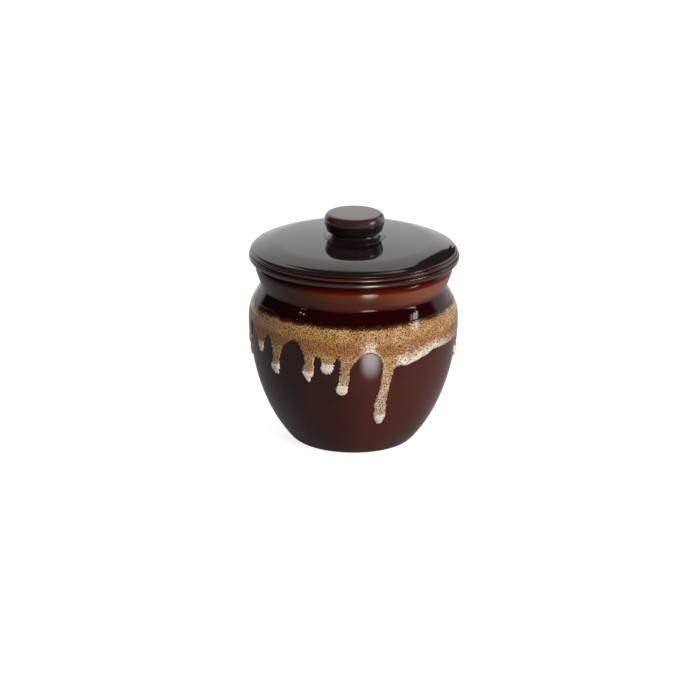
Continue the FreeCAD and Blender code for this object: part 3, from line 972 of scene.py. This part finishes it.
# %% Paint of the floor
WHITE = (1, 1, 1, 1)
FLOOR_PALE = (0.4, 0.4, 0.4, 1)
FLOOR_ROUGHNESS = 0.9
FLOOR_GLOW = 0.84
FLOOR_MIRRORED = 0.05
POOL_TURN = math.radians(17.5)
POOL_PLACE = (-1.5, -152)
POOL_REACH = (28, 66)
POOL_FADE = (1.0, -0.1)
POOL_LEVEL = 20.0
BEHIND_START = (200, 280)
BEHIND_MIRRORED = 0.6


def pool_of_light(tree, places, axes):
    """A soft pool of light on the table before the jar, with a little light all round it."""
    mapping = tree.nodes.new("ShaderNodeMapping")
    mapping.inputs["Rotation"].default_value = (0, 0, -POOL_TURN)
    tree.links.new(places, mapping.inputs["Vector"])
    turned_axes = tree.nodes.new("ShaderNodeSeparateXYZ")
    tree.links.new(mapping.outputs["Vector"], turned_axes.inputs[0])
    parts = []
    for axis, middle, reach in zip("XY", POOL_PLACE, POOL_REACH):
        offset = sums(tree, "SUBTRACT", turned_axes.outputs[axis], middle * MM)
        parts.append(sums(tree, "POWER", sums(tree, "DIVIDE", offset, reach * MM), 2))
    pool = ramp(tree, sums(tree, "ADD", *parts), POOL_FADE, FLOOR_MIRRORED, POOL_LEVEL)
    return sums(tree, "MAXIMUM", pool, over(tree, axes["Y"], BEHIND_START, 0, BEHIND_MIRRORED))


def seen_directly(tree, places, axes):
    """How far the floor is lifted to white for the eye, and what the glaze's mirror sees of it."""
    path = tree.nodes.new("ShaderNodeLightPath").outputs
    straight = sums(tree, "MAXIMUM", path["Is Camera Ray"], path["Is Transmission Ray"])
    mirrored = times(tree, path["Is Glossy Ray"], pool_of_light(tree, places, axes))
    return sums(tree, "ADD", times(tree, straight, FLOOR_GLOW), mirrored)


def floor_paint():
    """A matt pale paint that the eye sees as white."""
    material, tree, shader, places, axes = new_material("floor")
    shader.inputs["Base Color"].default_value = FLOOR_PALE
    shader.inputs["Roughness"].default_value = FLOOR_ROUGHNESS
    shader.inputs["Specular IOR Level"].default_value = 0
    shader.inputs["Emission Color"].default_value = WHITE
    tree.links.new(seen_directly(tree, places, axes), shader.inputs["Emission Strength"])
    return material


FLOOR_PAINT = floor_paint()

# %% Lay the floor
FLOOR_SIZE = 4.0
FLOOR_GAP = 0.2 * MM
floor_mesh = bmesh.new()
bmesh.ops.create_grid(floor_mesh, x_segments=1, y_segments=1, size=FLOOR_SIZE / 2)
bmesh.ops.translate(floor_mesh, verts=floor_mesh.verts, vec=(0, 0, -FLOOR_GAP))
floor_data = bpy.data.meshes.new("floor")
floor_mesh.to_mesh(floor_data)
floor_mesh.free()
floor_data.materials.append(FLOOR_PAINT)
floor = bpy.data.objects.new("floor", floor_data)
bpy.context.scene.collection.objects.link(floor)
print("floor", FLOOR_SIZE, "m across")

# %% [markdown]
# The surround is the room that the glaze mirrors: white behind and beside the jar, dim in front, and a dark
# post on the right that draws the black crescent on the lid. It could be a picture of a room, but a few
# smooth steps on the direction of view are enough, and they take no file. The eye sees plain white instead,
# and the soft light that falls on the jar is an even grey.

# %% Surround
ROOM_LEVEL = (0.16, 0.16, 0.16, 1)
# What the glaze sees, by the direction it looks in: each pair is where a part starts and is complete
BEHIND_EDGE = (0.475, 0.59)
BEHIND_LEAN = 0.2
FRONT_MIRRORED = 0.03
POST_LEFT = (0.232, 0.248)
POST_RIGHT = (0.55, 0.46)
POST_FOOT = (0.02, 0.08)
POST_MIRRORED = 0.03


def mirrored_room(tree, axes):
    """How bright the room is that the glaze shows."""
    rear = sums(tree, "ADD", axes["Y"], times(tree, axes["X"], BEHIND_LEAN))
    behind = ramp(tree, rear, BEHIND_EDGE, FRONT_MIRRORED, 1)
    left = ramp(tree, axes["X"], POST_LEFT)
    right = ramp(tree, axes["X"], POST_RIGHT)
    post = times(tree, left, right, ramp(tree, axes["Z"], POST_FOOT))
    return times(tree, behind, ramp(tree, post, (0, 1), 1, POST_MIRRORED))


surround = bpy.data.worlds.new("surround")
surround.use_nodes = True
surround_tree = surround.node_tree
direction = surround_tree.nodes.new("ShaderNodeSeparateXYZ")
view_way = surround_tree.nodes.new("ShaderNodeTexCoord").outputs["Generated"]
surround_tree.links.new(view_way, direction.inputs[0])
path = surround_tree.nodes.new("ShaderNodeLightPath").outputs
gloss = sums(surround_tree, "MAXIMUM", path["Is Glossy Ray"], path["Is Transmission Ray"])
level = mixed(surround_tree, gloss, ROOM_LEVEL, mirrored_room(surround_tree, direction.outputs))
level = mixed(surround_tree, path["Is Camera Ray"], level, WHITE)
surround_tree.links.new(level, surround_tree.nodes["Background"].inputs["Color"])
bpy.context.scene.world = surround
print("surround of", len(surround_tree.nodes), "nodes")

# %% [markdown]
# Two large soft lamps light the jar and are hidden from its mirror. What the mirror shows instead are lamps
# that light nothing else: a tall window with two panes on the right and two small bulbs on the left. One set
# of lamps could do both, but then a change to a highlight would change the light on the whole jar. Each lamp
# is placed by its angle to the right of the front and its rise, in degrees, and faces the jar.

# %% List the lamps
WINDOW_RISE = 21
WINDOW_LEAN = 36
WINDOW_HEIGHT = 0.46
EDGE_SIZE = (0.02, WINDOW_HEIGHT)
PANE_SIZE = (0.05, WINDOW_HEIGHT)
EDGE_LEVEL = 15
PANE_LEVEL = 17
BULB_SIZE = (0.009, 0.009)
BULB_LEVEL = 240
SOFT_SIZE = (0.6, 0.6)
# Each lamp: its name, angle, rise, size in metres, level and lean
MIRROR_LAMPS = [
    ("window_edge", 69.0, WINDOW_RISE, EDGE_SIZE, EDGE_LEVEL, WINDOW_LEAN),
    ("window_pane_left", 73.7, WINDOW_RISE, PANE_SIZE, PANE_LEVEL, WINDOW_LEAN),
    ("window_pane_right", 77.7, WINDOW_RISE, PANE_SIZE, PANE_LEVEL, WINDOW_LEAN),
    ("left_bulb_a", -70, 33.0, BULB_SIZE, BULB_LEVEL, 0),
    ("left_bulb_b", -64.5, 33.6, BULB_SIZE, BULB_LEVEL, 0),
]
SOFT_LAMPS = [("soft_key", 34, 27, SOFT_SIZE, 8.4, 0), ("back_fill", 200, 35, SOFT_SIZE, 4.4, 0)]
print(len(MIRROR_LAMPS), "lamps for the mirror and", len(SOFT_LAMPS), "soft ones")

# %% Hang the lamps
LAMP_AIM = Vector((0, 0, 45 * MM))
MIRROR_DISTANCE = 1.2
SOFT_DISTANCE = 1.0


def lamp(name, angle, rise, size, level, lean, distance):
    """A flat lamp that faces the jar, as bright all over as its level says."""
    data = bpy.data.lights.new(name, "AREA")
    data.shape = "RECTANGLE"
    data.size, data.size_y = size
    data.energy = level * math.pi * size[0] * size[1]
    turn, lift = math.radians(angle), math.radians(rise)
    away = Vector((math.sin(turn) * math.cos(lift), -math.cos(turn) * math.cos(lift), math.sin(lift)))
    light = bpy.data.objects.new(name, data)
    light.location = LAMP_AIM + away * distance
    facing = away.to_track_quat("Z", "Y").to_matrix() @ Matrix.Rotation(-math.radians(lean), 3, "Z")
    light.rotation_euler = facing.to_euler()
    light.visible_camera = False
    bpy.context.scene.collection.objects.link(light)
    return light


for lamp_values in MIRROR_LAMPS:
    lamp(*lamp_values, MIRROR_DISTANCE).visible_diffuse = False
for lamp_values in SOFT_LAMPS:
    lamp(*lamp_values, SOFT_DISTANCE).visible_glossy = False
print("lamps", sorted(light.name for light in bpy.data.lights))

# %% [markdown]
# The camera looks down a little on the jar's lid and stands far enough away to keep the jar upright and calm.
# It could be aimed by a constraint that tracks the jar, but the frame also leans by a hair, so its place and
# turn are worked out from a few angles.

# %% Camera
CAMERA_RISE = math.radians(18.93)
CAMERA_DISTANCE = 1.203
CAMERA_AIM = Vector((-1.22 * MM, 0, 35.9 * MM))
CAMERA_ANGLE = math.radians(13.70)
CAMERA_ROLL = math.radians(0.645)

camera_data = bpy.data.cameras.new("camera")
camera_data.angle = CAMERA_ANGLE
camera = bpy.data.objects.new("camera", camera_data)
back = Vector((0, -math.cos(CAMERA_RISE), math.sin(CAMERA_RISE)))
turned = back.to_track_quat("Z", "Y").to_matrix().to_4x4() @ Matrix.Rotation(CAMERA_ROLL, 4, "Z")
camera.matrix_world = Matrix.Translation(CAMERA_AIM + back * CAMERA_DISTANCE) @ turned
bpy.context.scene.collection.objects.link(camera)
bpy.context.scene.camera = camera
bpy.context.scene.view_settings.view_transform = "Standard"
print("camera", round(CAMERA_DISTANCE / MM), "mm from the jar")
